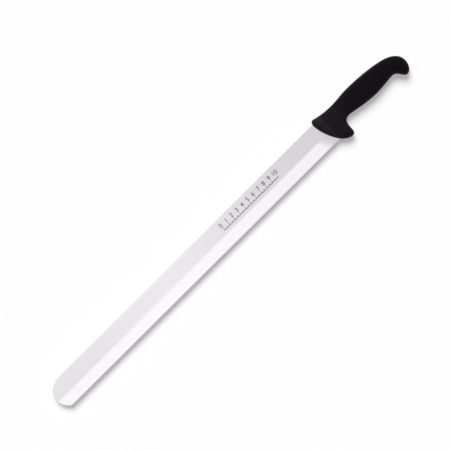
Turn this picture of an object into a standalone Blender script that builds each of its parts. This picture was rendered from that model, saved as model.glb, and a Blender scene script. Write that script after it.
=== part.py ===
# A doner kebab knife: a long straight slicing blade with its tang inside a moulded handle.
# The knife lies on its side: X runs towards the handle's butt, Y towards the spine, Z up through the thickness.
# Shapes are drawn with x from the bolster's front towards the butt, y from the edge towards the spine and z from
# the blade's middle plane.
import math

import bmesh
import bpy
import numpy as np
from mathutils import Vector
from mathutils.geometry import delaunay_2d_cdt

MM = 0.001

# Blade
BLADE_LENGTH = 500 * MM  # from the tip to the bolster's front
BLADE_HEIGHT = 39 * MM
BLADE_THICKNESS = 2 * MM
TIP_THICKNESS = 1.8 * MM  # the flats taper from the plain strip to the tip
NOSE_RISE = 19.5 * MM  # height of the foremost point above the edge
NOSE_UNDERCUT = 10 * MM  # the edge's corner lies this far behind the foremost point
NOSE_CROWN = 25 * MM  # the straight spine starts this far behind the foremost point
BEVEL_HEIGHT = 16.8 * MM  # at the heel
TIP_BEVEL_HEIGHT = 15.8 * MM
EDGE_THICKNESS = 0.4 * MM
RUNOUT_START = 12 * MM  # the bevel's top line stops this far ahead of the bolster
RUNOUT_SLANT = 16 * MM  # the bevel ends this much nearer the bolster at the edge than at its top line
RUNOUT_RAMP = 8 * MM  # length over which the bevel rises to the full thickness at the edge
PLAIN_STRIP = 20 * MM  # stretch of the flat ahead of the bolster that doesn't taper

# Tang, inside the handle
SPINE_SHOULDER = 8 * MM  # depth of the spine inside the bolster
EDGE_SHOULDER = 22 * MM  # depth of the edge inside the bolster
TANG_LENGTH = 120 * MM
LOCK_HOLE_DIAMETER = 6 * MM
LOCK_HOLE_COUNT = 3
LOCK_HOLE_FIRST = 48 * MM
LOCK_HOLE_END_MARGIN = 14 * MM  # from the last hole's middle to the tang's end

# Handle core, moulded round the tang
CORE_SETBACK = 5 * MM  # from the edge's shoulder to the core's front
CORE_BEYOND_TANG = 4 * MM
CORE_WALL = 2.5 * MM  # core plastic above and below the tang
CORE_THICKNESS = 8.5 * MM
CORE_ROUNDING = 1.8 * MM

# Handle grip, seen from the side: crests are above the spine line, falls below it, drops below the edge
HANDLE_LENGTH = 148.9 * MM
BOLSTER_CREST_X = 4.6 * MM
BOLSTER_CREST = 4.3 * MM
BOLSTER_FRONT_FALL = 2.5 * MM
GUARD_FOOT_X = 13.3 * MM  # the bolster's front reaches the edge line here
GUARD_TIP_X = 28 * MM
GUARD_DROP = 9.3 * MM
GUARD_REAR_X = 34.4 * MM
WAIST_X = 36 * MM
WAIST_CREST = 0.3 * MM
NOTCH_X = 45 * MM
NOTCH_HEIGHT = 25.6 * MM  # height of the handle at the notch behind the guard
HUMP_X = 66 * MM
HUMP_CREST = 2.1 * MM
BELLY_X = 92 * MM
BELLY_HEIGHT = 33.1 * MM  # from the hump's level down to the belly's lowest line
SHOULDER_X = 128 * MM
SHOULDER_FALL = 4.7 * MM
HOOK_ROOT_X = 122 * MM
HOOK_ROOT_HEIGHT = 24.1 * MM  # from the shoulder's level down to the hook's root
HOOK_TIP_X = 138.5 * MM
HOOK_DROP = 2.4 * MM
BUTT_RISE = 13 * MM  # height of the rearmost point above the edge

# Handle grip, thickness at five places along it
BOLSTER_THICKNESS = 18 * MM
WAIST_THICKNESS = 17 * MM
BELLY_THICKNESS = 22 * MM
HOOK_ROOT_THICKNESS = 19 * MM
HOOK_THICKNESS = 22 * MM
BOLSTER_MIDDLE_X = 14 * MM
RIM_ROUNDING = 11 * MM  # distance over which the outline rounds over onto the sides
GRIP_WALL = 3.5 * MM  # grip plastic above the core at the waist, and below it at the notch

CLEARANCE = 0.3 * MM  # gap between touching pieces
CUT_MARGIN = 5 * MM  # how far a cutter reaches past what it cuts

# Mesh fineness
OUTLINE_STEP = 3.5 * MM
OUTLINE_TURN = math.radians(14)
RIM_ANGLES = (24, 48, 74)  # degrees round the rim where rings of points lie
RING_CROWDING = 0.45  # least spacing of points in a ring, in outline steps
RING_DRIFT = 0.97  # a ring's point nearer another stretch of outline than this share of its depth is left out
SAMPLE_STEP = 0.2 * MM
NOSE_SEGMENTS = 10
ROUND_SEGMENTS = 24


def new_object(name, mesh):
    """Puts a mesh into the scene as an object under the knife's parent empty."""
    item = bpy.data.objects.new(name, mesh)
    item.parent = bpy.data.objects["knife"]
    bpy.context.collection.objects.link(item)
    return item


def mesh_from(name, bm):
    """Closes a bmesh into a mesh whose faces point out."""
    bmesh.ops.recalc_face_normals(bm, faces=bm.faces)
    mesh = bpy.data.meshes.new(name)
    bm.to_mesh(mesh)
    bm.free()
    return mesh


def slab(name, panels, thickness):
    """A flat plate, centred on z = 0, whose faces are the given neighbouring outlines."""
    bm = bmesh.new()
    corners = {}
    for panel in panels:
        for x, y in panel:
            if (x, y) not in corners:
                corners[x, y] = bm.verts.new((x, y, -thickness / 2))
        bm.faces.new([corners[point] for point in panel])
    raised = bmesh.ops.extrude_face_region(bm, geom=bm.faces[:])
    lifted = [part for part in raised["geom"] if isinstance(part, bmesh.types.BMVert)]
    bmesh.ops.translate(bm, verts=lifted, vec=(0, 0, thickness))
    return new_object(name, mesh_from(name, bm))


def rod(name, x, y, radius, length):
    """A round bar along Z, centred on z = 0."""
    bm = bmesh.new()
    bmesh.ops.create_cone(
        bm, cap_ends=True, segments=ROUND_SEGMENTS, radius1=radius, radius2=radius, depth=length
    )
    bmesh.ops.translate(bm, verts=bm.verts, vec=(x, y, 0))
    return new_object(name, mesh_from(name, bm))


def planed_block(name, low, high, planes, kept):
    """A block between two corners, planed along planes given by three points, with the point kept left in."""
    bm = bmesh.new()
    bmesh.ops.create_cube(bm, size=1)
    bmesh.ops.translate(bm, verts=bm.verts, vec=(0.5, 0.5, 0.5))
    bmesh.ops.scale(bm, verts=bm.verts, vec=high - low)
    bmesh.ops.translate(bm, verts=bm.verts, vec=low)
    for first, second, third in planes:
        normal = (second - first).cross(third - first).normalized()
        if normal.dot(kept - first) > 0:
            normal.negate()
        everything = [*bm.verts, *bm.edges, *bm.faces]
        bmesh.ops.bisect_plane(bm, geom=everything, plane_co=first, plane_no=normal, clear_outer=True)
        bmesh.ops.holes_fill(bm, edges=[edge for edge in bm.edges if edge.is_boundary])
    return new_object(name, mesh_from(name, bm))


def cut(item, cutter):
    """Takes the cutter's shape out of the item."""
    cutter.hide_render = True
    cutter.display_type = "WIRE"
    boolean = item.modifiers.new("cut_" + cutter.name, "BOOLEAN")
    boolean.operation = "DIFFERENCE"
    boolean.solver = "EXACT"
    boolean.object = cutter


def paint(item, name, colour, roughness, metallic):
    """Gives an object its own material."""
    material = bpy.data.materials.new(name)
    material.use_nodes = True
    shader = material.node_tree.nodes["Principled BSDF"]
    shader.inputs["Base Color"].default_value = (*colour, 1)
    shader.inputs["Roughness"].default_value = roughness
    shader.inputs["Metallic"].default_value = metallic
    item.data.materials.append(material)


def elliptic_arc(centre, across, up, start, end):
    """Points on an ellipse between two angles, both ends included."""
    angles = np.linspace(start, end, NOSE_SEGMENTS + 1)
    return [(centre[0] + across * math.cos(a), centre[1] + up * math.sin(a)) for a in angles]


def along_handle(x, at_notch, at_hook_root):
    """A value that runs straight from one at the notch to another at the hook's root, and on past both."""
    return at_notch + (at_hook_root - at_notch) * (x - NOTCH_X) / (HOOK_ROOT_X - NOTCH_X)


def tang_axis(x):
    """Height of the tang's middle line, which is the handle's own."""
    at_notch = BLADE_HEIGHT + WAIST_CREST - NOTCH_HEIGHT / 2
    at_hook_root = BLADE_HEIGHT - SHOULDER_FALL - HOOK_ROOT_HEIGHT / 2
    return along_handle(x, at_notch, at_hook_root)


def core_half_height(x):
    """Half the core's height: the handle's less its wall."""
    return along_handle(x, NOTCH_HEIGHT / 2, HOOK_ROOT_HEIGHT / 2) - GRIP_WALL


def tang_outline(front, rear, grow):
    """Corners of a stretch of the tang, grown above and below, from the lower front corner round."""
    low_side = [(x, tang_axis(x) - core_half_height(x) + CORE_WALL - grow) for x in (front, rear)]
    high_side = [(x, tang_axis(x) + core_half_height(x) - CORE_WALL + grow) for x in (rear, front)]
    return low_side + high_side


def heel_outline(front, grow):
    """The blade from x = front back to the tang's end, grown by a clearance."""
    tang = tang_outline(EDGE_SHOULDER + grow, TANG_LENGTH + grow, grow)
    return [
        (front, -grow),
        (EDGE_SHOULDER + grow, -grow),
        *tang,
        (SPINE_SHOULDER + grow, BLADE_HEIGHT + grow),
        (front, BLADE_HEIGHT + grow),
    ]


def nose_outline():
    """The round nose, from the edge's corner up and over, without its last point on the straight spine."""
    radius = (NOSE_RISE**2 + NOSE_UNDERCUT**2) / (2 * NOSE_UNDERCUT)
    corner = math.pi + math.asin(NOSE_RISE / radius)
    under = elliptic_arc((radius - BLADE_LENGTH, NOSE_RISE), radius, radius, corner, math.pi)
    over_centre = (NOSE_CROWN - BLADE_LENGTH, NOSE_RISE)
    over = elliptic_arc(over_centre, NOSE_CROWN, BLADE_HEIGHT - NOSE_RISE, math.pi, math.pi / 2)
    return under + over[1:-1]


def taper(blade):
    """Thins the blade evenly from the plain strip to its tip."""
    for vertex in blade.data.vertices:
        share = max(0, -PLAIN_STRIP - vertex.co.x) / (BLADE_LENGTH - PLAIN_STRIP)
        vertex.co.z *= 1 - share * (1 - TIP_THICKNESS / BLADE_THICKNESS)


def bevel_cutter(name, side):
    """What is ground off one side of the blade (side is 1 or -1), ending in a ramp ahead of the bolster."""
    surface = side * BLADE_THICKNESS / 2
    edge = side * EDGE_THICKNESS / 2
    runout = Vector((-RUNOUT_START, BEVEL_HEIGHT, surface))
    tip = Vector((-BLADE_LENGTH, TIP_BEVEL_HEIGHT, side * TIP_THICKNESS / 2))
    heel = Vector((-RUNOUT_START, 0, edge))
    ramp_end = Vector((RUNOUT_SLANT - RUNOUT_START, 0, surface))
    ramp_start = Vector((ramp_end.x - RUNOUT_RAMP, 0, edge))
    low = Vector((-BLADE_LENGTH - CUT_MARGIN, -CUT_MARGIN, 0))
    high = Vector((ramp_end.x + CUT_MARGIN, BEVEL_HEIGHT + CUT_MARGIN, side * BLADE_THICKNESS))
    outer_corner = Vector((low.x, low.y, high.z))
    return planed_block(name, low, high, [(runout, tip, heel), (runout, ramp_end, ramp_start)], outer_corner)


def cut_lock_holes(item, radius):
    """Bores the holes through a tang, or through the room for one, where the core's posts pass."""
    places = np.linspace(LOCK_HOLE_FIRST, TANG_LENGTH - LOCK_HOLE_END_MARGIN, LOCK_HOLE_COUNT)
    for number, x in enumerate(places):
        cut(item, rod(f"{item.name}_hole_{number}", x, tang_axis(x), radius, 2 * CORE_THICKNESS))


def build_blade():
    nose_rear = NOSE_CROWN - BLADE_LENGTH
    panels = [
        [*nose_outline(), (nose_rear, BLADE_HEIGHT), (nose_rear, 0)],
        [(nose_rear, 0), (nose_rear, BLADE_HEIGHT), (-PLAIN_STRIP, BLADE_HEIGHT), (-PLAIN_STRIP, 0)],
        heel_outline(-PLAIN_STRIP, 0)[::-1],
    ]
    blade = slab("blade", panels, BLADE_THICKNESS)
    taper(blade)
    cut(blade, bevel_cutter("upper_bevel", 1))
    cut(blade, bevel_cutter("lower_bevel", -1))
    cut_lock_holes(blade, LOCK_HOLE_DIAMETER / 2)
    paint(blade, "steel", (0.62, 0.61, 0.62), 0.32, 1)


def tang_room():
    """The slot that the tang takes up in the core, with posts left standing where the lock holes are."""
    outline = tang_outline(EDGE_SHOULDER - CUT_MARGIN, TANG_LENGTH + CLEARANCE, CLEARANCE)
    room = slab("tang_room", [outline], BLADE_THICKNESS + 2 * CLEARANCE)
    cut_lock_holes(room, LOCK_HOLE_DIAMETER / 2 - CLEARANCE)
    return room


def core_block(name, grow):
    """The core's rounded block, grown by a clearance on every side."""
    front = EDGE_SHOULDER + CORE_SETBACK - grow
    rear = TANG_LENGTH + CORE_BEYOND_TANG + grow
    block = slab(name, [tang_outline(front, rear, CORE_WALL + grow)], CORE_THICKNESS + 2 * grow)
    rounding = block.modifiers.new("rounding", "BEVEL")
    rounding.width = CORE_ROUNDING + grow
    rounding.segments = 3
    return block


def build_core():
    core = core_block("handle_core", 0)
    cut(core, tang_room())
    paint(core, "core_plastic", (0.08, 0.08, 0.085), 0.5, 0)


def handle_landmarks():
    """The handle's outline: x, y, heading in degrees, and how far the curve keeps to it before and after."""
    spine = BLADE_HEIGHT
    return [
        (0, spine - BOLSTER_FRONT_FALL, 90, 12 * MM, 4 * MM),
        (BOLSTER_CREST_X, spine + BOLSTER_CREST, 0, 2.4 * MM, 3 * MM),
        (WAIST_X, spine + WAIST_CREST, 0, 20 * MM, 12 * MM),
        (HUMP_X, spine + HUMP_CREST, 0, 12 * MM, 10 * MM),
        (SHOULDER_X, spine - SHOULDER_FALL, -16, 22 * MM, 12 * MM),
        (HANDLE_LENGTH, BUTT_RISE, -90, 11.5 * MM, 8 * MM),
        (HOOK_TIP_X, -HOOK_DROP, 180, 5.5 * MM, 7 * MM),
        (HOOK_ROOT_X, spine - SHOULDER_FALL - HOOK_ROOT_HEIGHT, 180, 9 * MM, 8 * MM),
        (BELLY_X, spine + HUMP_CREST - BELLY_HEIGHT, 180, 12 * MM, 22 * MM),
        (NOTCH_X, spine + WAIST_CREST - NOTCH_HEIGHT, 180, 5 * MM, 7.5 * MM),
        (GUARD_REAR_X, 0, -90, 10 * MM, 6.6 * MM),
        (GUARD_TIP_X, -GUARD_DROP, 180, 5 * MM, 4 * MM),
        (GUARD_FOOT_X, 0, 129, 6 * MM, 10 * MM),
    ]


def curve_between(start, end):
    """A finely sampled Bezier curve from one landmark to the next, without its last point."""
    corner = np.array(start[:2])
    far_corner = np.array(end[:2])
    leaving = np.array([math.cos(math.radians(start[2])), math.sin(math.radians(start[2]))])
    arriving = np.array([math.cos(math.radians(end[2])), math.sin(math.radians(end[2]))])
    samples = math.ceil(np.linalg.norm(far_corner - corner) / SAMPLE_STEP)
    t = np.linspace(0, 1, samples, endpoint=False)[:, None]
    first_pull = corner + leaving * start[4]
    second_pull = far_corner - arriving * end[3]
    near_start = (1 - t) ** 3 * corner + 3 * (1 - t) ** 2 * t * first_pull
    near_end = 3 * (1 - t) * t**2 * second_pull + t**3 * far_corner
    return near_start + near_end


def handle_outline():
    """The handle's whole outline, closed, running clockwise from the bolster's front."""
    marks = handle_landmarks()
    return np.vstack([curve_between(mark, marks[(i + 1) % len(marks)]) for i, mark in enumerate(marks)])


def thin_out(outline):
    """Keeps the outline's points that its shape needs: one each step, and more where it turns."""
    kept = []
    run = 0
    turn = 0
    for i, point in enumerate(outline):
        before = point - outline[i - 1]
        after = outline[(i + 1) % len(outline)] - point
        run += np.linalg.norm(before)
        bend = math.atan2(after[1], after[0]) - math.atan2(before[1], before[0])
        turn += abs(math.remainder(bend, math.tau))
        if not kept or run >= OUTLINE_STEP or turn >= OUTLINE_TURN:
            kept.append(i)
            run = 0
            turn = 0
    return kept


def nearest(points, outline):
    """Distance from each point to the nearest point of the outline."""
    return np.array([np.min(np.hypot(*(outline - point).T)) for point in points])


def soft_distance(points, outline):
    """Distance to the outline, blended so that no ridge forms where two stretches of it are equally near."""
    steps = np.linalg.norm(np.roll(outline, -1, axis=0) - outline, axis=1)
    pull = np.array([np.sum(steps / np.hypot(*(outline - point).T) ** 5) for point in points])
    # Summed along a straight line at distance d, step / distance**5 comes to 4 / (3 * d**4).
    return (pull * 3 / 4) ** (-1 / 4)


def inside(points, outline):
    """Which points lie within the outline."""
    ahead = np.roll(outline, -1, axis=0)
    result = []
    for x, y in points:
        spans = (outline[:, 1] > y) != (ahead[:, 1] > y)
        a, b = outline[spans], ahead[spans]
        crossings = a[:, 0] + (y - a[:, 1]) * (b[:, 0] - a[:, 0]) / (b[:, 1] - a[:, 1])
        result.append(np.count_nonzero(crossings > x) % 2 == 1)
    return np.array(result)


def half_thickness(x):
    """Half the handle's thickness at x, eased between its five places."""
    places = [BOLSTER_MIDDLE_X, NOTCH_X, BELLY_X, HOOK_ROOT_X, HOOK_TIP_X]
    sizes = [BOLSTER_THICKNESS, WAIST_THICKNESS, BELLY_THICKNESS, HOOK_ROOT_THICKNESS, HOOK_THICKNESS]
    index = np.clip(np.searchsorted(places, x) - 1, 0, len(places) - 2)
    before, after = np.take(places, index), np.take(places, index + 1)
    share = np.clip((x - before) / (after - before), 0, 1)
    share = share**2 * (3 - 2 * share)
    return ((1 - share) * np.take(sizes, index) + share * np.take(sizes, index + 1)) / 2


def side_height(points, outline):
    """Height of the handle's side above its middle plane: a quarter ellipse round the rim, then level."""
    share = np.clip(soft_distance(points, outline) / RIM_ROUNDING, 0, 1)
    return half_thickness(points[:, 0]) * np.sqrt(1 - (1 - share) ** 2)


def rim_rings(outline, kept):
    """Points in rings that follow the outline, where its rim rounds over."""
    points = []
    for angle in RIM_ANGLES:
        depth = RIM_ROUNDING * (1 - math.cos(math.radians(angle)))
        ring = []
        for i in kept:
            along = outline[(i + 1) % len(outline)] - outline[i - 1]
            inward = np.array([along[1], -along[0]]) / np.linalg.norm(along)
            point = outline[i] + inward * depth
            clear = nearest([point], outline)[0] > RING_DRIFT * depth
            spaced = not ring or nearest([point], np.array(ring))[0] > RING_CROWDING * OUTLINE_STEP
            if clear and spaced:
                ring.append(point)
        points += ring
    return points


def middle_points(outline):
    """A staggered grid of points over the middle of the handle's side."""
    step = 2 * OUTLINE_STEP
    row_step = step * math.sqrt(3) / 2
    low, high = outline.min(axis=0), outline.max(axis=0)
    depth = RIM_ROUNDING * (1 - math.cos(math.radians(RIM_ANGLES[-1]))) + OUTLINE_STEP
    grid = []
    for row in range(math.ceil((high[1] - low[1]) / row_step)):
        shift = step / 2 * (row % 2)
        for column in range(math.ceil((high[0] - low[0]) / step)):
            grid.append((low[0] + shift + column * step, low[1] + row * row_step))
    grid = np.array(grid)
    grid = grid[inside(grid, outline)]
    return list(grid[nearest(grid, outline) > depth])


def handle_solid(name):
    """The handle's outer shape: two domed sides that meet along the outline."""
    outline = handle_outline()
    kept = thin_out(outline)
    inner = rim_rings(outline, kept) + middle_points(outline)
    flat = [Vector(point) for point in [*outline[kept], *inner]]
    loop = list(range(len(kept)))[::-1]
    spots, _, triangles, sources, _, _ = delaunay_2d_cdt(flat, [], [loop], 1, 0.01 * MM)
    heights = np.zeros(len(spots))
    raised = [i for i, source in enumerate(sources) if min(source) >= len(kept)]
    heights[raised] = side_height(np.array([spots[i] for i in raised]), outline)
    bm = bmesh.new()
    upper = [bm.verts.new((spot.x, spot.y, height)) for spot, height in zip(spots, heights)]
    lower = [
        bm.verts.new((spot.x, spot.y, -height)) if height else top
        for spot, height, top in zip(spots, heights, upper)
    ]
    for corners in triangles:
        bm.faces.new([upper[i] for i in corners])
        bm.faces.new([lower[i] for i in reversed(corners)])
    return new_object(name, mesh_from(name, bm))


def build_grip():
    grip = handle_solid("handle_grip")
    grip.data.shade_smooth()
    heel_room = slab("heel_room", [heel_outline(-CUT_MARGIN, CLEARANCE)], BLADE_THICKNESS + 2 * CLEARANCE)
    cut(grip, heel_room)
    cut(grip, core_block("core_room", CLEARANCE))
    paint(grip, "black_plastic", (0.012, 0.011, 0.012), 0.42, 0)
    return grip


def place_origin(grip):
    """Sets the knife so that its origin is the middle of its footprint, on the surface that it lies on."""
    top = max(vertex.co.y for vertex in grip.data.vertices)
    bottom = min(vertex.co.y for vertex in grip.data.vertices)
    rear = max(vertex.co.x for vertex in grip.data.vertices)
    lowest = min(vertex.co.z for vertex in grip.data.vertices)
    knife = bpy.data.objects["knife"]
    knife.location = ((BLADE_LENGTH - rear) / 2, -(top + bottom) / 2, -lowest)


for old in list(bpy.data.objects):
    bpy.data.objects.remove(old)

bpy.context.collection.objects.link(bpy.data.objects.new("knife", None))
build_blade()
build_core()
place_origin(build_grip())
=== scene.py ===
import math
from functools import partial

import bmesh
import bpy
import numpy as np
from mathutils import Matrix, Vector
from mathutils.geometry import delaunay_2d_cdt


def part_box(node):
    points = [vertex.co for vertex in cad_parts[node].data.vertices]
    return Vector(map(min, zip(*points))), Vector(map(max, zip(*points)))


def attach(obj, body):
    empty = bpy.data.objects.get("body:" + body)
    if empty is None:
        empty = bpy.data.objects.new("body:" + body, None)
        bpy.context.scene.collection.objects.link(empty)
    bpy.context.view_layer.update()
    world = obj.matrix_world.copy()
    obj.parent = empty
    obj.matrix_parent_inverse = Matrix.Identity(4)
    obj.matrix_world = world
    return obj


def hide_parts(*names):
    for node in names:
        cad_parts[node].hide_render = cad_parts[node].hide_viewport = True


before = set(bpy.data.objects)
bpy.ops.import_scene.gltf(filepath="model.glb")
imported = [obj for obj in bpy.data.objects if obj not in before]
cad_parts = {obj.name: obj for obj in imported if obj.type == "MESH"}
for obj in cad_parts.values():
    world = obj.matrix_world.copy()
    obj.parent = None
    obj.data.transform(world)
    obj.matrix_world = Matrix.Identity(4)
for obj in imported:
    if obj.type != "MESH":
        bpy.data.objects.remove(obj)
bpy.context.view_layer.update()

mm = 0.001

# The knife lies on its side. Shapes are drawn from the heel: x runs towards the butt, y from the edge
# towards the spine, z up from the blade's middle plane. heel is where that frame's zero lies.
bladeLength = 500 * mm
bladeLow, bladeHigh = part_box("blade")
heel = Vector((bladeLow.x + bladeLength, bladeLow.y, (bladeLow.z + bladeHigh.z) / 2))


# Helpers for all node trees
def addNode(tree, kind, **settings):
    node = tree.nodes.new(kind)
    for name, value in settings.items():
        setattr(node, name, value)
    return node


def feed(tree, socket, value):
    if isinstance(value, bpy.types.NodeSocket):
        tree.links.new(value, socket)
    else:
        socket.default_value = value


def feedAll(tree, node, **values):
    # keyword names are socket names with their spaces left out
    for socket in node.inputs:
        key = socket.name.replace(" ", "")
        if key in values and socket.enabled:
            feed(tree, socket, values.pop(key))


def calc(tree, operation, *values):
    node = addNode(tree, "ShaderNodeMath", operation=operation)
    for socket, value in zip(node.inputs, values):
        feed(tree, socket, value)
    return node.outputs[0]


def remap(tree, value, lowIn, highIn, lowOut, highOut, easing="LINEAR"):
    node = addNode(tree, "ShaderNodeMapRange", interpolation_type=easing)
    for socket, item in zip(node.inputs, (value, lowIn, highIn, lowOut, highOut)):
        feed(tree, socket, item)
    return node.outputs[0]


def spread(tree, noise, low, high, easing="LINEAR"):
    # noise seldom leaves the middle of its range, so that middle is drawn out from low to high
    return remap(tree, noise, 0.3, 0.7, low, high, easing)


def blendValue(tree, share, first, second):
    node = addNode(tree, "ShaderNodeMix", data_type="FLOAT")
    feed(tree, node.inputs[0], share)
    feed(tree, node.inputs[2], first)
    feed(tree, node.inputs[3], second)
    return node.outputs[0]


def vector(tree, x, y, z):
    node = addNode(tree, "ShaderNodeCombineXYZ")
    for socket, item in zip(node.inputs, (x, y, z)):
        feed(tree, socket, item)
    return node.outputs[0]


def split(tree, value):
    node = addNode(tree, "ShaderNodeSeparateXYZ")
    feed(tree, node.inputs[0], value)
    return node.outputs


def startTree(name, kind, inputs, output, outputType):
    tree = bpy.data.node_groups.new(name, kind)
    for label, value in inputs.items():
        if isinstance(value, int):
            socketType = "NodeSocketInt"
        elif isinstance(value, Vector):
            socketType = "NodeSocketVector"
        else:
            socketType = "NodeSocketFloat"
        socket = tree.interface.new_socket(label, in_out="INPUT", socket_type=socketType)
        socket.default_value = value
    tree.interface.new_socket(output, in_out="OUTPUT", socket_type=outputType)
    entry = addNode(tree, "NodeGroupInput")
    leave = addNode(tree, "NodeGroupOutput")
    return tree, entry.outputs, leave.inputs[0]


# Helpers for the trees that make forms
def startForm(name, sizes):
    return startTree(name, "GeometryNodeTree", sizes, "Geometry", "NodeSocketGeometry")


def here(tree):
    return split(tree, addNode(tree, "GeometryNodeInputPosition").outputs[0])


def move(tree, geometry, x, y, z):
    node = addNode(tree, "GeometryNodeSetPosition")
    feedAll(tree, node, Geometry=geometry, Position=vector(tree, x, y, z))
    return node.outputs[0]


def shift(tree, geometry, offset):
    node = addNode(tree, "GeometryNodeTransform")
    feedAll(tree, node, Geometry=geometry, Translation=offset)
    return node.outputs[0]


def join(tree, *parts):
    node = addNode(tree, "GeometryNodeJoinGeometry")
    for part in parts:
        tree.links.new(part, node.inputs[0])
    return node.outputs[0]


def weld(tree, geometry):
    node = addNode(tree, "GeometryNodeMergeByDistance")
    feedAll(tree, node, Geometry=geometry, Distance=0.0001 * mm)
    return node.outputs[0]


def store(tree, geometry, name, value):
    node = addNode(tree, "GeometryNodeStoreNamedAttribute", data_type="FLOAT", domain="POINT")
    feedAll(tree, node, Geometry=geometry, Name=name, Value=value)
    return node.outputs[0]


def recall(tree, name):
    node = addNode(tree, "GeometryNodeInputNamedAttribute", data_type="FLOAT")
    node.inputs["Name"].default_value = name
    return node.outputs["Attribute"]


def finishForm(tree, geometry, material, result):
    real = addNode(tree, "GeometryNodeRealizeInstances")
    feed(tree, real.inputs["Geometry"], geometry)
    painted = addNode(tree, "GeometryNodeSetMaterial")
    feed(tree, painted.inputs["Geometry"], real.outputs[0])
    painted.inputs["Material"].default_value = material
    feed(tree, result, painted.outputs[0])


# Helpers for pieces
def link(name, data):
    item = bpy.data.objects.new(name, data)
    bpy.context.scene.collection.objects.link(item)
    return item


def pieceFromTree(name, tree, sizes):
    # the tree runs on an empty object, and its result becomes a plain mesh
    piece = link(name, bpy.data.meshes.new(name))
    form = piece.modifiers.new("form", "NODES")
    form.node_group = tree
    for socket in tree.interface.items_tree:
        if socket.item_type == "SOCKET" and socket.in_out == "INPUT":
            value = sizes[socket.name]
            form[socket.identifier] = value if isinstance(value, (int, float)) else tuple(value)
    graph = bpy.context.evaluated_depsgraph_get()
    piece.data = bpy.data.meshes.new_from_object(
        piece.evaluated_get(graph), preserve_all_data_layers=True, depsgraph=graph
    )
    piece.data.name = name
    piece.modifiers.remove(form)
    return piece


def pieceFromMesh(name, bm, material):
    mesh = bpy.data.meshes.new(name)
    bm.to_mesh(mesh)
    bm.free()
    mesh.materials.append(material)
    return link(name, mesh)


# Effects that several materials share
def startEffect(name, inputs, output):
    tree, given, result = startTree(name, "ShaderNodeTree", inputs, output, "NodeSocketFloat")
    place = addNode(tree, "ShaderNodeTexCoord").outputs["Object"]
    return tree, given, result, place


def shiftPlace(tree, place, x, y, z):
    node = addNode(tree, "ShaderNodeVectorMath", operation="ADD")
    feed(tree, node.inputs[0], place)
    feed(tree, node.inputs[1], vector(tree, x, y, z))
    return node.outputs[0]


def addNoise(tree, place, fineness, detail, roughness):
    node = addNode(tree, "ShaderNodeTexNoise")
    feedAll(tree, node, Vector=place, Scale=fineness, Detail=detail, Roughness=roughness)
    return node.outputs[0]


def buildGrain():
    # noise drawn out along one direction, from 0 to 1
    inputs = {"Turn": 0.0, "Fineness": 1000.0, "Stretch": 50.0, "Shift": 0.0}
    tree, given, result, place = startEffect("drawnGrain", inputs, "Grain")
    turned = addNode(tree, "ShaderNodeVectorRotate", rotation_type="Z_AXIS")
    feedAll(tree, turned, Vector=place, Angle=given["Turn"])
    x, y, z = split(tree, turned.outputs[0])
    drawn = vector(tree, calc(tree, "DIVIDE", x, given["Stretch"]), y, z)
    place = shiftPlace(tree, drawn, given["Shift"], given["Shift"], given["Shift"])
    feed(tree, result, addNoise(tree, place, given["Fineness"], 2.0, 0.6))
    return tree


def buildRimWear():
    # where handling rubs a piece: a broken band along its outline, from 0 to 1
    inputs = {"Distance": 0.0, "Reach": 1.0, "Patchiness": 60.0, "Strength": 1.0}
    tree, given, result, place = startEffect("rimWear", inputs, "Wear")
    noise = addNoise(tree, place, given["Patchiness"], 3.0, 0.55)
    patch = remap(tree, noise, 0.35, 0.65, 0.35, 1.0, "SMOOTHSTEP")
    reach = calc(tree, "MULTIPLY", given["Reach"], patch)
    band = remap(tree, given["Distance"], 0.0, reach, 1.0, 0.0, "SMOOTHSTEP")
    feed(tree, result, calc(tree, "MULTIPLY", band, given["Strength"]))
    return tree


def buildHandling():
    # faint cloudy smudges that only gloss shows, from 0 to 1
    inputs = {"Fineness": 30.0, "Shift": 0.0}
    tree, given, result, place = startEffect("handling", inputs, "Smudge")
    place = shiftPlace(tree, place, given["Shift"], given["Shift"], 0.0)
    noise = addNoise(tree, place, given["Fineness"], 4.0, 0.5)
    feed(tree, result, spread(tree, noise, 0.0, 1.0, "SMOOTHSTEP"))
    return tree


grainGroup = buildGrain()
wearGroup = buildRimWear()
handlingGroup = buildHandling()


# Helpers for materials
def startMaterial(name, preview):
    material = bpy.data.materials.new(name)
    material.use_nodes = True
    material.diffuse_color = (*preview, 1)
    tree = material.node_tree
    return material, tree, tree.nodes["Principled BSDF"]


def useGroup(tree, group, **values):
    node = addNode(tree, "ShaderNodeGroup", node_tree=group)
    feedAll(tree, node, **values)
    return node.outputs[0]


def attribute(tree, name):
    return addNode(tree, "ShaderNodeAttribute", attribute_name=name).outputs["Fac"]


def blendColour(tree, share, first, second, method="MIX"):
    node = addNode(tree, "ShaderNodeMix", data_type="RGBA", blend_type=method)
    feed(tree, node.inputs[0], share)
    for socket, item in zip(node.inputs[6:8], (first, second)):
        feed(tree, socket, (*item, 1) if isinstance(item, tuple) else item)
    return node.outputs[2]


def shade(tree, colour, level):
    return blendColour(tree, 1.0, colour, vector(tree, level, level, level), "MULTIPLY")


def addSmudges(tree, roughness, finish):
    smudge = useGroup(tree, handlingGroup, **finish["smudges"])
    return calc(tree, "ADD", roughness, remap(tree, smudge, 0.0, 1.0, *finish["smudgeSwing"]))


def bump(tree, height, distance, strength):
    node = addNode(tree, "ShaderNodeBump")
    feedAll(tree, node, Height=height, Distance=distance, Strength=strength)
    return node.outputs[0]


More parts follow.
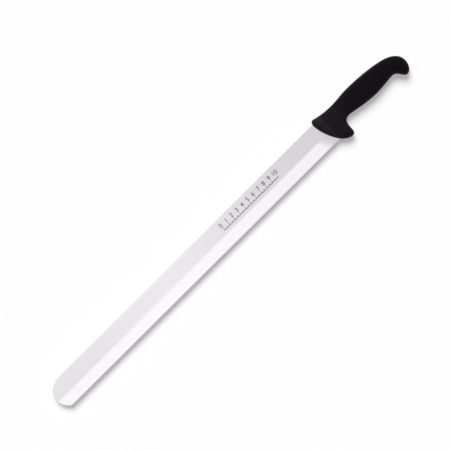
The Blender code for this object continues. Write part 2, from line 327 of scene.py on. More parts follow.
# Steel of the blade
steel = {
    "flatNear": (0.678, 0.656, 0.678),  # near is by the bolster, far is towards the nose, and the flat's lightening from near to far is painted reflection
    "flatFar": (0.838, 0.814, 0.838),
    # the ground bevel's colours are lighter than the flat's: painted reflection of the bevel's tilt, on top
    # of the painted lightening from near to far
    "groundNear": (0.900, 0.876, 0.900),
    "groundFar": (0.962, 0.938, 0.962),
    "worn": (0.86, 0.86, 0.86),
    "satinStart": -10 * mm,  # the painted reflection lightens from here towards the nose
    "satinFull": -300 * mm,
    "satinEnd": -470 * mm,
    "satinLoss": 0.3,  # how far the painted reflection darkens again from full to end
    "flatRoughness": 0.40,
    "groundRoughness": 0.30,
    "flatLines": {"Fineness": 4200.0, "Stretch": 90.0},
    "flatBands": {"Fineness": 700.0, "Stretch": 60.0, "Shift": 0.37},
    "groundLines": {"Turn": math.radians(90), "Fineness": 5200.0, "Stretch": 30.0, "Shift": 1.3},
    "groundBands": {"Turn": math.radians(88), "Fineness": 900.0, "Stretch": 20.0, "Shift": 2.1},
    "bandShare": 0.3,
    "streak": 0.05,  # how far the brushing changes colour and roughness
    "lineDepth": 0.006 * mm,
    "lineStrength": 0.5,
    "smudges": {"Fineness": 22.0, "Shift": 0.8},
    "smudgeSwing": (-0.02, 0.03),  # what smudges add to the roughness, from the faintest to the strongest
    "wear": {"Reach": 0.9 * mm, "Patchiness": 90.0, "Strength": 0.5},
}


def makeBladeSteel():
    material, tree, shader = startMaterial("bladeSteel", steel["flatNear"])
    do = partial(calc, tree)
    drawn = partial(useGroup, tree, grainGroup)
    ground = attribute(tree, "ground")
    x = split(tree, addNode(tree, "ShaderNodeTexCoord").outputs["Object"])[0]
    # painted reflection: the steel's colour lightens from the bolster to a broad painted highlight, then
    # dims a little towards the nose
    start, full, end = (heel.x + steel[name] for name in ("satinStart", "satinFull", "satinEnd"))
    gain = remap(tree, x, start, full, 0, 1, "SMOOTHSTEP")
    loss = remap(tree, x, full, end, 0, steel["satinLoss"], "SMOOTHSTEP")
    paintedReflection = do("SUBTRACT", gain, loss)
    fine = blendValue(tree, ground, drawn(**steel["flatLines"]), drawn(**steel["groundLines"]))
    broad = blendValue(tree, ground, drawn(**steel["flatBands"]), drawn(**steel["groundBands"]))
    lines = blendValue(tree, steel["bandShare"], fine, broad)
    wear = useGroup(tree, wearGroup, Distance=attribute(tree, "rimDistance"), **steel["wear"])

    flat = blendColour(tree, paintedReflection, steel["flatNear"], steel["flatFar"])
    # painted reflection on the ground bevel, lighter than on the flat
    lit = blendColour(tree, paintedReflection, steel["groundNear"], steel["groundFar"])
    colour = blendColour(tree, ground, flat, lit)
    colour = shade(tree, colour, spread(tree, lines, 1 - steel["streak"], 1 + steel["streak"]))
    feed(tree, shader.inputs["Base Color"], blendColour(tree, wear, colour, steel["worn"]))

    roughness = blendValue(tree, ground, steel["flatRoughness"], steel["groundRoughness"])
    roughness = do("ADD", roughness, spread(tree, lines, -steel["streak"], steel["streak"]))
    feed(tree, shader.inputs["Roughness"], addSmudges(tree, roughness, steel))
    shader.inputs["Metallic"].default_value = 1
    feed(tree, shader.inputs["Normal"], bump(tree, lines, steel["lineDepth"], steel["lineStrength"]))
    return material


# Black plastic of the handle
plastic = {
    "colour": (0.0030, 0.0021, 0.0030),
    # the lighter colour of both the worn rim and the painted sheen
    "rubbed": (0.0155, 0.0138, 0.0155),
    # painted sheen, lighter towards the bolster's front where its rounding faces the light: where each part
    # starts and stops fading, in mm from the heel, and its share
    "polish": ((12, 17, 0.55), (30, 44, 0.24), (44, 110, 0.10)),
    "polishGloss": 0.07,  # what the painted sheen and the wear take off the roughness
    "roughness": 0.58,
    "gloss": 0.07,
    "grain": {"Fineness": 1 / (0.45 * mm), "Stretch": 1.0},
    "fineGrain": {"Fineness": 2.6 / (0.45 * mm), "Stretch": 1.0, "Shift": 0.6},
    "fineShare": 0.35,
    "speckle": 0.45,  # how far the grain changes the colour
    "grainDepth": 0.12 * mm,
    "grainStrength": 1.0,
    "grainSwing": 0.04,  # how far the grain changes the roughness
    "smudges": {"Fineness": 38.0},
    "smudgeSwing": (-0.04, 0.05),
    "wear": {"Reach": 2.5 * mm, "Patchiness": 140.0, "Strength": 0.14},
}


def makeGripPlastic():
    material, tree, shader = startMaterial("gripPlastic", plastic["colour"])
    do = partial(calc, tree)
    x = split(tree, addNode(tree, "ShaderNodeTexCoord").outputs["Object"])[0]
    grain = useGroup(tree, grainGroup, **plastic["grain"])
    fine = useGroup(tree, grainGroup, **plastic["fineGrain"])
    pits = blendValue(tree, plastic["fineShare"], grain, fine)
    rubbed = useGroup(tree, wearGroup, Distance=attribute(tree, "rimDistance"), **plastic["wear"])
    # painted sheen: lighter bands along x towards the bolster's front, added to the rim's wear
    for start, end, share in plastic["polish"]:
        fade = remap(tree, x, heel.x + start * mm, heel.x + end * mm, share, 0, "SMOOTHSTEP")
        rubbed = do("ADD", rubbed, fade)

    colour = blendColour(tree, rubbed, plastic["colour"], plastic["rubbed"])
    level = remap(tree, pits, 0.38, 0.62, 1 - plastic["speckle"], 1 + plastic["speckle"])
    feed(tree, shader.inputs["Base Color"], shade(tree, colour, level))

    roughness = addSmudges(tree, plastic["roughness"], plastic)
    roughness = do("SUBTRACT", roughness, do("MULTIPLY", rubbed, plastic["polishGloss"]))
    swing = spread(tree, pits, -plastic["grainSwing"], plastic["grainSwing"])
    feed(tree, shader.inputs["Roughness"], do("ADD", roughness, swing))
    shader.inputs["Specular IOR Level"].default_value = plastic["gloss"]
    feed(tree, shader.inputs["Normal"], bump(tree, pits, plastic["grainDepth"], plastic["grainStrength"]))
    return material


# Plastic of the core, hidden inside the handle
core = {
    "colour": (0.080, 0.080, 0.085),
    "roughness": 0.5,
    "grain": {"Fineness": 1500.0, "Stretch": 1.0, "Shift": 0.2},
    "flow": {"Fineness": 160.0, "Stretch": 6.0, "Shift": 0.9},  # where the hot plastic ran
    "flowChange": 0.12,
    "grainDepth": 0.02 * mm,
    "grainStrength": 0.4,
    "smudges": {"Fineness": 50.0, "Shift": 0.5},
    "smudgeSwing": (-0.05, 0.06),
}


def makeCorePlastic():
    material, tree, shader = startMaterial("corePlastic", core["colour"])
    grain = useGroup(tree, grainGroup, **core["grain"])
    flow = useGroup(tree, grainGroup, **core["flow"])
    level = spread(tree, flow, 1 - core["flowChange"], 1 + core["flowChange"])
    feed(tree, shader.inputs["Base Color"], shade(tree, core["colour"], level))
    feed(tree, shader.inputs["Roughness"], addSmudges(tree, core["roughness"], core))
    feed(tree, shader.inputs["Normal"], bump(tree, grain, core["grainDepth"], core["grainStrength"]))
    return material


# Dark oxide of the marks etched into the flat
etch = {
    "colour": (0.024, 0.023, 0.025),
    "bare": (0.12, 0.12, 0.122),
    "bareMost": 0.6,
    "roughness": 0.62,
    "metallic": 0.6,
    "grain": {"Fineness": 6000.0, "Stretch": 4.0, "Shift": 0.7},
    "grainDepth": 0.004 * mm,
    "grainStrength": 0.5,
    "smudges": {"Fineness": 260.0, "Shift": 1.1},
    "smudgeSwing": (-0.08, 0.06),
}


def makeEtchedOxide():
    material, tree, shader = startMaterial("etchedOxide", etch["colour"])
    grain = useGroup(tree, grainGroup, **etch["grain"])
    bare = remap(tree, grain, 0.5, 0.75, 0.0, etch["bareMost"])
    feed(tree, shader.inputs["Base Color"], blendColour(tree, bare, etch["colour"], etch["bare"]))
    feed(tree, shader.inputs["Roughness"], addSmudges(tree, etch["roughness"], etch))
    shader.inputs["Metallic"].default_value = etch["metallic"]
    feed(tree, shader.inputs["Normal"], bump(tree, grain, etch["grainDepth"], etch["grainStrength"]))
    return material


bladeSteel = makeBladeSteel()
gripPlastic = makeGripPlastic()
corePlastic = makeCorePlastic()
etchedOxide = makeEtchedOxide()
print("materials made")

# Blade and tang
blade = {
    "Origin": heel,
    "Stations": 401,
    "Rows": 61,
    "Length": bladeLength,
    "Height": 39 * mm,
    "Thickness": 2 * mm,
    "Tip Thickness": 1.8 * mm,
    "Plain Strip": 20 * mm,  # ahead of the bolster, where the thickness doesn't change
    "Nose Rise": 19.5 * mm,
    "Nose Undercut": 10 * mm,
    "Nose Crown": 25 * mm,
    "Bevel Height": 16.8 * mm,
    "Tip Bevel Height": 15.8 * mm,
    "Edge Thickness": 0.4 * mm,
    "Shoulder Blend": 0.07 * mm,
    "Finish Below": 1.6 * mm,  # the ground finish fades from here below the bevel's shoulder
    "Finish Above": 0.9 * mm,
    "Honed Edge": 0.03 * mm,
    "Honed Slope": 0.3,
    "Runout Top": -2 * mm,
    "Runout Foot": 5 * mm,
    "Runout Fade": 14.5 * mm,
    "Rim Radius": 0.4 * mm,
    "Spine Shoulder": 8 * mm,
    "Edge Shoulder": 22 * mm,
    "Tang Length": 120 * mm,
    "Tang Front Low": 20.75 * mm,
    "Tang Front High": 34.79 * mm,
    "Tang End Low": 16.29 * mm,
    "Tang End High": 28.43 * mm,
}


def bladeOutline(tree, size, x):
    do = partial(calc, tree)
    fromTip = do("ADD", x, size["Length"])

    # lower side of the nose: an arc that meets the edge at a corner
    arc = do("ADD", do("POWER", size["Nose Rise"], 2), do("POWER", size["Nose Undercut"], 2))
    arc = do("DIVIDE", arc, do("MULTIPLY", size["Nose Undercut"], 2))
    inset = do("SUBTRACT", arc, do("MINIMUM", fromTip, arc))
    rise = do("SUBTRACT", do("POWER", arc, 2), do("POWER", inset, 2))
    low = do("MAXIMUM", do("SUBTRACT", size["Nose Rise"], do("SQRT", do("MAXIMUM", rise, 0))), 0)

    # upper side of the nose: a quarter ellipse that runs into the spine
    crown = do("SUBTRACT", 1, do("MINIMUM", do("DIVIDE", fromTip, size["Nose Crown"]), 1))
    crown = do("SQRT", do("MAXIMUM", do("SUBTRACT", 1, do("POWER", crown, 2)), 0))
    high = do("MULTIPLY_ADD", do("SUBTRACT", size["Height"], size["Nose Rise"]), crown, size["Nose Rise"])

    # the tang takes over behind the two shoulders
    tangStart, tangEnd = size["Edge Shoulder"], size["Tang Length"]
    tangLow = remap(tree, x, tangStart, tangEnd, size["Tang Front Low"], size["Tang End Low"])
    tangHigh = remap(tree, x, tangStart, tangEnd, size["Tang Front High"], size["Tang End High"])
    low = blendValue(tree, do("GREATER_THAN", x, size["Edge Shoulder"]), low, tangLow)
    high = blendValue(tree, do("GREATER_THAN", x, size["Spine Shoulder"]), high, tangHigh)
    return low, high


def bevelTop(tree, size, x):
    tip = calc(tree, "MULTIPLY", size["Length"], -1)
    return remap(tree, x, tip, size["Runout Top"], size["Tip Bevel Height"], size["Bevel Height"])


def flatHeight(tree, size, x):
    # the flat's height above the middle plane, which is half the blade's thickness
    ends = [calc(tree, "MULTIPLY", size[name], -1) for name in ("Length", "Plain Strip")]
    heights = [calc(tree, "MULTIPLY", size[name], 0.5) for name in ("Tip Thickness", "Thickness")]
    return remap(tree, x, *ends, *heights)


def runout(tree, size, x, y):
    # 0 on the bevel, and 1 where it has run out into the flat ahead of the bolster
    slant = remap(tree, y, 0, size["Bevel Height"], size["Runout Foot"], size["Runout Top"])
    return remap(tree, x, calc(tree, "SUBTRACT", slant, size["Runout Fade"]), slant, 0, 1, "SMOOTHSTEP")


def bladeSheet(tree, size):
    do = partial(calc, tree)
    grid = addNode(tree, "GeometryNodeMeshGrid")
    feedAll(tree, grid, SizeX=1.0, SizeY=1.0, VerticesX=size["Stations"], VerticesY=size["Rows"])
    gridX, gridY, _ = here(tree)
    station = do("ADD", gridX, 0.5)
    row = do("ADD", gridY, 0.5)

    # stations crowd at the nose and at the heel, and the last tenth of them is for the tang
    tip = do("MULTIPLY", size["Length"], -1)
    beyond = do("SUBTRACT", size["Tang Length"], size["Spine Shoulder"])
    forward = remap(tree, station, 0, 0.9, tip, size["Spine Shoulder"], "SMOOTHSTEP")
    x = do("ADD", forward, remap(tree, station, 0.9, 1, 0, beyond))

    # rows crowd at the edge, at the bevel's shoulder and at the spine
    low, high = bladeOutline(tree, size, x)
    ledge = do("MINIMUM", do("MAXIMUM", bevelTop(tree, size, x), low), high)
    below = do("MULTIPLY", do("SUBTRACT", ledge, low), remap(tree, row, 0, 0.5, 0, 1, "SMOOTHSTEP"))
    above = do("MULTIPLY", do("SUBTRACT", high, ledge), remap(tree, row, 0.5, 1, 0, 1, "SMOOTHSTEP"))
    y = do("ADD", do("ADD", low, below), above)
    return weld(tree, move(tree, grid.outputs["Mesh"], x, y, 0))


def markSheet(tree, size, sheet, x, y):
    # stores what the steel and the rim's rounding need: how near the outline is, and where it is ground
    do = partial(calc, tree)
    sides = addNode(tree, "GeometryNodeInputMeshEdgeNeighbors").outputs[0]
    outline = addNode(tree, "GeometryNodeSeparateGeometry", domain="EDGE")
    feedAll(tree, outline, Geometry=sheet, Selection=do("LESS_THAN", sides, 1.5))
    rim = addNode(tree, "GeometryNodeProximity", target_element="EDGES")
    feed(tree, rim.inputs[0], outline.outputs[0])
    sheet = store(tree, sheet, "rimDistance", rim.outputs["Distance"])
    top = bevelTop(tree, size, x)
    fadeFrom = do("SUBTRACT", top, size["Finish Below"])
    fadeTo = do("ADD", top, size["Finish Above"])
    ground = remap(tree, y, fadeFrom, fadeTo, 1, 0, "SMOOTHSTEP")
    ground = do("MULTIPLY", ground, do("SUBTRACT", 1, runout(tree, size, x, y)))
    return store(tree, sheet, "ground", ground)


def closeSlab(tree, sheet, height):
    raised = addNode(tree, "GeometryNodeExtrudeMesh", mode="FACES")
    feedAll(tree, raised, Mesh=sheet, Offset=(0, 0, 1), OffsetScale=height, Individual=False)
    flipped = addNode(tree, "GeometryNodeFlipFaces")
    feed(tree, flipped.inputs["Mesh"], sheet)
    return weld(tree, join(tree, raised.outputs["Mesh"], flipped.outputs["Mesh"]))


def bladeRise(tree, size, x, y):
    # how far each point lies above or below the middle plane
    do = partial(calc, tree)
    half = flatHeight(tree, size, x)
    edge = do("MULTIPLY", size["Edge Thickness"], 0.5)
    climb = do("DIVIDE", do("SUBTRACT", half, edge), bevelTop(tree, size, x))
    bevel = do("MULTIPLY_ADD", y, climb, edge)
    bevel = do("SMOOTH_MIN", bevel, half, size["Shoulder Blend"])
    bevel = do("MINIMUM", bevel, do("MULTIPLY_ADD", y, size["Honed Slope"], size["Honed Edge"]))
    rise = blendValue(tree, runout(tree, size, x, y), bevel, half)

    # the rim is rounded
    radius = do("MINIMUM", size["Rim Radius"], do("MULTIPLY", rise, 0.9))
    share = do("SUBTRACT", 1, do("MINIMUM", do("DIVIDE", recall(tree, "rimDistance"), radius), 1))
    dip = do("SUBTRACT", 1, do("SQRT", do("SUBTRACT", 1, do("POWER", share, 2))))
    return do("SUBTRACT", rise, do("MULTIPLY", radius, dip))


def buildBladeTree(sizes, material):
    tree, size, result = startForm("bladeForm", sizes)
    x, y, z = here(tree)
    sheet = markSheet(tree, size, bladeSheet(tree, size), x, y)
    slabHeight = 1 * mm
    slab = closeSlab(tree, sheet, slabHeight)
    side = remap(tree, z, 0, slabHeight, -1, 1)  # -1 on the slab's lower face and 1 on its upper one
    rise = bladeRise(tree, size, x, y)
    solid = move(tree, slab, x, y, calc(tree, "MULTIPLY", rise, side))
    smooth = addNode(tree, "GeometryNodeSetShadeSmooth", domain="FACE")
    feed(tree, smooth.inputs["Geometry"], shift(tree, solid, size["Origin"]))
    finishForm(tree, smooth.outputs[0], material, result)
    return tree


bladePiece = pieceFromTree("bladeSteelwork", buildBladeTree(blade, bladeSteel), blade)
print("blade:", len(bladePiece.data.polygons), "faces")

# A plain scale etched into the upper flat
scale = {
    "Origin": heel,
    "Marks": 21,
    "Spacing": 5 * mm,
    "Start": -181 * mm,
    "Foot": 21.6 * mm,
    "Line Width": 0.75 * mm,
    "Short": 1.8 * mm,
    "Tall": 3.0 * mm,
    "Proud": 0.01 * mm,
    "Depth": 0.04 * mm,
    "Length": blade["Length"],
    "Plain Strip": blade["Plain Strip"],
    "Tip Thickness": blade["Tip Thickness"],
    "Thickness": blade["Thickness"],
}


def scaleTicks(tree, size):
    # one tick for each mark, taller at every second one
    do = partial(calc, tree)
    row = addNode(tree, "GeometryNodeMeshLine")
    start = vector(tree, size["Start"], size["Foot"], 0)
    feedAll(tree, row, Count=size["Marks"], StartLocation=start, Offset=vector(tree, size["Spacing"], 0, 0))
    index = addNode(tree, "GeometryNodeInputIndex").outputs[0]
    second = do("LESS_THAN", do("MODULO", index, 2), 0.5)
    height = blendValue(tree, second, size["Short"], size["Tall"])
    tick = addNode(tree, "GeometryNodeMeshCube")
    feedAll(tree, tick, Size=(1, 1, 1))
    stood = shift(tree, tick.outputs["Mesh"], (0, 0.5, -0.5))
    ticks = addNode(tree, "GeometryNodeInstanceOnPoints")
    stretch = vector(tree, size["Line Width"], height, size["Depth"])
    feedAll(tree, ticks, Points=row.outputs[0], Instance=stood, Scale=stretch)
    return ticks.outputs[0]


def scaleLine(tree, size):
    # the line that the ticks stand on
    do = partial(calc, tree)
    span = do("MULTIPLY", size["Spacing"], do("SUBTRACT", size["Marks"], 1))
    line = addNode(tree, "GeometryNodeMeshCube")
    length = do("ADD", span, size["Line Width"])
    feedAll(tree, line, Size=vector(tree, length, size["Line Width"], size["Depth"]))
    middle = do("MULTIPLY_ADD", span, 0.5, size["Start"])
    offset = vector(tree, middle, size["Foot"], do("MULTIPLY", size["Depth"], -0.5))
    return shift(tree, line.outputs["Mesh"], offset)


def buildScaleTree(sizes, material):
    tree, size, result = startForm("scaleForm", sizes)
    real = addNode(tree, "GeometryNodeRealizeInstances")
    feed(tree, real.inputs[0], join(tree, scaleTicks(tree, size), scaleLine(tree, size)))
    united = addNode(tree, "GeometryNodeMeshBoolean", operation="UNION", solver="EXACT")
    tree.links.new(real.outputs[0], united.inputs["Mesh 2"])
    feedAll(tree, united, SelfIntersection=True)

    # everything follows the flat's taper
    x, y, z = here(tree)
    lift = calc(tree, "ADD", flatHeight(tree, size, x), size["Proud"])
    laid = move(tree, united.outputs[0], x, y, calc(tree, "ADD", z, lift))
    finishForm(tree, shift(tree, laid, size["Origin"]), material, result)
    return tree


# Plain centimetres above the longer marks
numbers = {
    "size": 9.0 * mm,
    "rise": 5.0 * mm,
    "curveSteps": 8,
    "weldDistance": 0.001 * mm,
    "smallestEdge": 0.01 * mm,
}


def numberMesh(words):
    text = bpy.data.curves.new("number", "FONT")
    text.body = words
    text.size = numbers["size"]
    text.align_x = "CENTER"
    text.resolution_u = numbers["curveSteps"]
    text.extrude = scale["Depth"] / 2
    shape = bpy.data.meshes.new_from_object(link("number", text))
    bpy.data.curves.remove(text)
    return shape


def makeNumbers(name):
    bm = bmesh.new()
    ends = (-blade["Length"], -blade["Plain Strip"])
    heights = (blade["Tip Thickness"] / 2, blade["Thickness"] / 2)
    for count in range(0, scale["Marks"], 2):
        shape = numberMesh(str(count // 2))
        x = scale["Start"] + count * scale["Spacing"]
        z = np.interp(x, ends, heights) + scale["Proud"] - scale["Depth"] / 2
        shape.transform(Matrix.Translation(heel + Vector((x, scale["Foot"] + numbers["rise"], z))))
        bm.from_mesh(shape)
        bpy.data.meshes.remove(shape)
    bmesh.ops.remove_doubles(bm, verts=bm.verts, dist=numbers["weldDistance"])
    bmesh.ops.dissolve_degenerate(bm, dist=numbers["smallestEdge"], edges=bm.edges)
    bmesh.ops.recalc_face_normals(bm, faces=bm.faces)
    return pieceFromMesh(name, bm, etchedOxide)


scalePiece = pieceFromTree("etchedScale", buildScaleTree(scale, etchedOxide), scale)
numbersPiece = makeNumbers("etchedNumbers")
print("scale:", len(scalePiece.data.polygons) + len(numbersPiece.data.polygons), "faces")

# Moulded handle. A landmark of the outline is its x and y, the heading in degrees, and how far the curve
# keeps to it before and after. They run clockwise from the bolster's front, and all is in millimetres.
handle = {
    "landmarks": [
        (0, 36.5, 90, 12, 4),
        (4.6, 43.3, 0, 2.4, 3),
        (36, 39.3, 0, 20, 12),
        (66, 41.1, 0, 12, 10),
        (128, 34.3, -16, 22, 12),
        (148.9, 13, -90, 11.5, 8),
        (138.5, -2.4, 180, 5.5, 7),
        (122, 10.2, 180, 9, 8),
        (92, 8, 180, 12, 22),
        (45, 13.7, 180, 5, 7.5),
        (34.4, 0, -90, 10, 6.6),
        (28, -9.3, 180, 5, 4),
        (13.3, 0, 129, 6, 10),
    ],
    "places": (14, 45, 92, 122, 138.5),
    "thicknesses": (18, 17, 22, 19, 22),
    "rimRounding": 11,
    "inset": 0.015,  # the CAD solid has chords for curves, and the smooth handle stays inside them
    "sampleStep": 0.1,
    "outlineStep": 0.8,
    "outlineTurn": 6,
    "ringAngles": (12, 20, 28, 36, 44, 52, 60, 68, 76),
    "ringClearance": 0.97,  # as a share of the ring's depth
    "ringSpacing": 0.45,  # as a share of outlineStep
    "gridStep": 1.6,
    "partingWidth": 0.22,
    "partingDepth": 0.09,
}


def heading(degrees):
    return np.array([math.cos(math.radians(degrees)), math.sin(math.radians(degrees))])


def curveBetween(start, end, step):
    first, last = np.array(start[:2], float), np.array(end[:2], float)
    leaving = first + heading(start[2]) * start[4]
    arriving = last - heading(end[2]) * end[3]
    t = np.linspace(0, 1, math.ceil(np.linalg.norm(last - first) / step), endpoint=False)[:, None]
    return (
        (1 - t) ** 3 * first + 3 * (1 - t) ** 2 * t * leaving
        + 3 * (1 - t) * t**2 * arriving + t**3 * last
    )


def inwardOf(outline):
    along = np.roll(outline, -1, axis=0) - np.roll(outline, 1, axis=0)
    return np.column_stack([along[:, 1], -along[:, 0]]) / np.linalg.norm(along, axis=1)[:, None]


def handleOutline(marks, step, inset):
    following = marks[1:] + marks[:1]
    outline = np.vstack([curveBetween(mark, after, step) for mark, after in zip(marks, following)])
    return outline + inwardOf(outline) * inset


def thinOut(outline, step, turnLimit):
    # keeps one point each step, and more where the outline turns
    kept = []
    run = 0
    turn = 0
    for i, point in enumerate(outline):
        before = point - outline[i - 1]
        after = outline[(i + 1) % len(outline)] - point
        run += np.linalg.norm(before)
        bend = math.atan2(after[1], after[0]) - math.atan2(before[1], before[0])
        turn += abs(math.remainder(bend, math.tau))
        if not kept or run >= step or turn >= turnLimit:
            kept.append(i)
            run = 0
            turn = 0
    return kept


def nearest(points, others):
    return np.array([np.min(np.hypot(*(others - point).T)) for point in points])


def softDistance(points, outline):
    # distance to the outline, without a ridge where two stretches of it are equally near: along a
    # straight outline the fifth powers of 1 / distance add up to 4/3 of 1 / distance to the fourth
    steps = np.linalg.norm(np.roll(outline, -1, axis=0) - outline, axis=1)
    pull = np.array([np.sum(steps / np.hypot(*(outline - point).T) ** 5) for point in points])
    return (pull * 3 / 4) ** (-1 / 4)


def insideOf(points, outline):
    # a point is inside where a line from it crosses the outline an odd number of times
    ahead = np.roll(outline, -1, axis=0)
    found = []
    for x, y in points:
        spans = (outline[:, 1] > y) != (ahead[:, 1] > y)
        a, b = outline[spans], ahead[spans]
        crossings = a[:, 0] + (y - a[:, 1]) * (b[:, 0] - a[:, 0]) / (b[:, 1] - a[:, 1])
        found.append(np.count_nonzero(crossings > x) % 2 == 1)
    return np.array(found)


def halfThickness(x):
    places, sizes = handle["places"], handle["thicknesses"]
    index = np.clip(np.searchsorted(places, x) - 1, 0, len(places) - 2)
    before, after = np.take(places, index), np.take(places, index + 1)
    share = np.clip((x - before) / (after - before), 0, 1)
    share = share**2 * (3 - 2 * share)
    return ((1 - share) * np.take(sizes, index) + share * np.take(sizes, index + 1)) / 2


def ringDepth(angle):
    return handle["rimRounding"] * (1 - math.cos(math.radians(angle)))


def rimRings(outline, kept):
    # rings that follow the outline, at the given angles round the rim's curve
    inward = inwardOf(outline)
    apart = handle["ringSpacing"] * handle["outlineStep"]
    points = []
    for depth in map(ringDepth, handle["ringAngles"]):
        ring = []
        for i in kept:
            point = outline[i] + inward[i] * depth
            clear = nearest([point], outline)[0] > handle["ringClearance"] * depth
            if clear and (not ring or nearest([point], np.array(ring))[0] > apart):
                ring.append(point)
        points += ring
    return points


def middleGrid(outline):
    step = handle["gridStep"]
    rowStep = step * math.sqrt(3) / 2
    low, high = outline.min(axis=0), outline.max(axis=0)
    grid = []
    for row in range(math.ceil((high[1] - low[1]) / rowStep)):
        for column in range(math.ceil((high[0] - low[0]) / step)):
            grid.append((low[0] + (column + row % 2 / 2) * step, low[1] + row * rowStep))
    grid = np.array(grid)
    grid = grid[insideOf(grid, outline)]
    return list(grid[nearest(grid, outline) > ringDepth(handle["ringAngles"][-1]) + step / 2])


def handleSheet():
    # the handle seen square on, in triangles: its points, how far each lies from the outline and how
    # high it rises, the triangles, and the outline's own points in their order
    outline = handleOutline(handle["landmarks"], handle["sampleStep"], handle["inset"])
    kept = thinOut(outline, handle["outlineStep"], math.radians(handle["outlineTurn"]))
    inner = rimRings(outline, kept) + middleGrid(outline)
    flat = [Vector(point) for point in [*outline[kept], *inner]]
    loop = list(range(len(kept)))[::-1]
    spots, _, triangles, sources, _, _ = delaunay_2d_cdt(flat, [], [loop], 1, 0.001)
    points = np.array(spots)
    order = {min(source): i for i, source in enumerate(sources) if min(source) < len(kept)}
    ring = [order[k] for k in sorted(order)]
    raised = np.setdiff1d(np.arange(len(points)), ring)
    distance = np.zeros(len(points))
    distance[raised] = softDistance(points[raised], outline)
    depth = np.clip(distance / handle["rimRounding"], 0, 1)
    height = (halfThickness(points[:, 0]) - handle["inset"]) * np.sqrt(1 - (1 - depth) ** 2)
    height[ring] = handle["partingWidth"] / 2
    return points, distance, height, triangles, ring


def makeHandle(name):
    points, distance, height, triangles, ring = handleSheet()
    bm = bmesh.new()
    rimLayer = bm.verts.layers.float.new("rimDistance")

    def addVert(x, y, z, away):
        vert = bm.verts.new(Vector((x, y, z)) * mm + heel)
        vert[rimLayer] = away * mm
        return vert

    upper = [addVert(*point, z, away) for point, z, away in zip(points, height, distance)]
    lower = [addVert(*point, -z, away) for point, z, away in zip(points, height, distance)]
    for corners in triangles:
        bm.faces.new([upper[i] for i in corners])
        bm.faces.new([lower[i] for i in reversed(corners)])

    # the parting line is a fine groove where the mould's halves met
    floorLine = points[ring] + inwardOf(points[ring]) * handle["partingDepth"]
    groove = [addVert(*point, 0, 0) for point in floorLine]
    for place, i in enumerate(ring):
        after = (place + 1) % len(ring)
        bm.faces.new([upper[i], upper[ring[after]], groove[after], groove[place]])
        bm.faces.new([groove[place], groove[after], lower[ring[after]], lower[i]])
    bmesh.ops.recalc_face_normals(bm, faces=bm.faces)
    piece = pieceFromMesh(name, bm, gripPlastic)
    piece.data.shade_smooth()
    return piece


handlePiece = makeHandle("mouldedHandle")
print("handle:", len(handlePiece.data.polygons), "faces")

# The CAD core keeps its shape and gets its own plastic
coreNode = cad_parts["handle_core"]
coreNode.data.materials.clear()
coreNode.data.materials.append(corePlastic)

# Floor, light and camera
studio = {
    "viewTurn": -44.84,  # degrees, the blade's slope in the picture
    "viewMiddle": (-176.2 * mm, 26.34 * mm),
    "viewWidth": 599.2 * mm,
    "lens": 135.0,
    "sensor": 36.0,
    "floorSize": 60.0,
    "floorColour": (0.631, 0.631, 0.631),
    "floorLift": 0.386,
    "liftColour": (1, 0.972, 1),
    "worldFill": 0.08,
    "zenith": 1.02,
    "zenithFrom": 0.75,  # how steeply up the room is at its brightest, as a sine
    "horizon": 0.75,
    "sideGain": 0.08,  # the room is this much brighter on the spine's side
    "keyAngle": 34.5,
    "keySpread": 36.0,  # degrees across, which sets how soft the shadow is
    "keyTurn": 26.0,  # degrees, from straight above the spine towards the butt
    "keyStrength": 3.42,
}


def seenRays(tree):
    # what the camera sees, directly or in gloss and glass, and not the light that falls on other things
    rays = addNode(tree, "ShaderNodeLightPath")
    seen = calc(tree, "MAXIMUM", rays.outputs["Is Camera Ray"], rays.outputs["Is Glossy Ray"])
    seen = calc(tree, "MAXIMUM", seen, rays.outputs["Is Transmission Ray"])
    return calc(tree, "MULTIPLY", seen, calc(tree, "LESS_THAN", rays.outputs["Diffuse Depth"], 0.5))


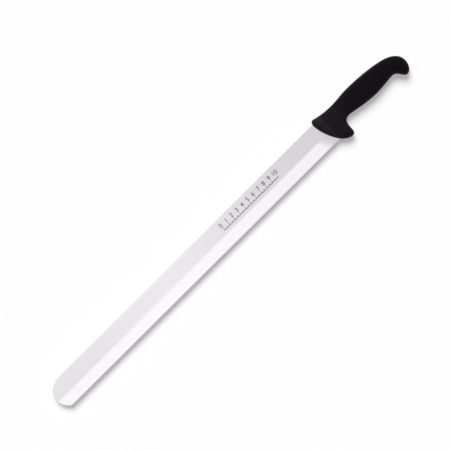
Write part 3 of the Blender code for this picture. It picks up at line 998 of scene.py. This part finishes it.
def makeFloor():
    material, tree, shader = startMaterial("paperFloor", studio["floorColour"])
    shader.inputs["Base Color"].default_value = (*studio["floorColour"], 1)
    shader.inputs["Roughness"].default_value = 1
    shader.inputs["Specular IOR Level"].default_value = 0
    shader.inputs["Emission Color"].default_value = (*studio["liftColour"], 1)
    lift = calc(tree, "MULTIPLY", seenRays(tree), studio["floorLift"])
    feed(tree, shader.inputs["Emission Strength"], lift)
    bm = bmesh.new()
    bmesh.ops.create_grid(bm, x_segments=1, y_segments=1, size=studio["floorSize"] / 2)
    pieceFromMesh("floor", bm, material)


def makeWorld():
    world = bpy.data.worlds.new("studio")
    bpy.context.scene.world = world
    world.use_nodes = True
    tree = world.node_tree
    background = tree.nodes["Background"]
    # metal sees a room that darkens a little towards the horizon
    direction = split(tree, addNode(tree, "ShaderNodeTexCoord").outputs["Generated"])
    levels = (0.0, studio["zenithFrom"], studio["horizon"], studio["zenith"])
    room = remap(tree, direction[2], *levels, "SMOOTHSTEP")
    room = calc(tree, "MULTIPLY_ADD", direction[1], studio["sideGain"], room)
    room = calc(tree, "MAXIMUM", room, addNode(tree, "ShaderNodeLightPath").outputs["Is Camera Ray"])
    background.inputs["Color"].default_value = (1, 1, 1, 1)
    feed(tree, background.inputs["Strength"], blendValue(tree, seenRays(tree), studio["worldFill"], room))


def makeKeyLamp():
    lamp = bpy.data.lights.new("key", "SUN")
    lamp.angle = math.radians(studio["keySpread"])
    lamp.energy = studio["keyStrength"]
    key = link("key", lamp)
    key.rotation_euler = (-math.radians(studio["keyAngle"]), 0, -math.radians(studio["keyTurn"]))
    key.visible_camera = False
    key.visible_glossy = False


def makeCamera():
    lens = bpy.data.cameras.new("camera")
    lens.lens = studio["lens"]
    lens.sensor_width = studio["sensor"]
    camera = link("camera", lens)
    distance = studio["viewWidth"] * studio["lens"] / studio["sensor"]
    camera.location = heel + Vector((*studio["viewMiddle"], distance))
    camera.rotation_euler = (0, 0, math.radians(studio["viewTurn"]))
    bpy.context.scene.camera = camera


makeFloor()
makeWorld()
makeKeyLamp()
makeCamera()
bpy.context.scene.view_settings.view_transform = "Standard"
print("studio set up")

# What rides on what, and what stands for which CAD node
for piece in (bladePiece, scalePiece, numbersPiece, handlePiece):
    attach(piece, "root")
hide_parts("blade")
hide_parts("handle_grip")
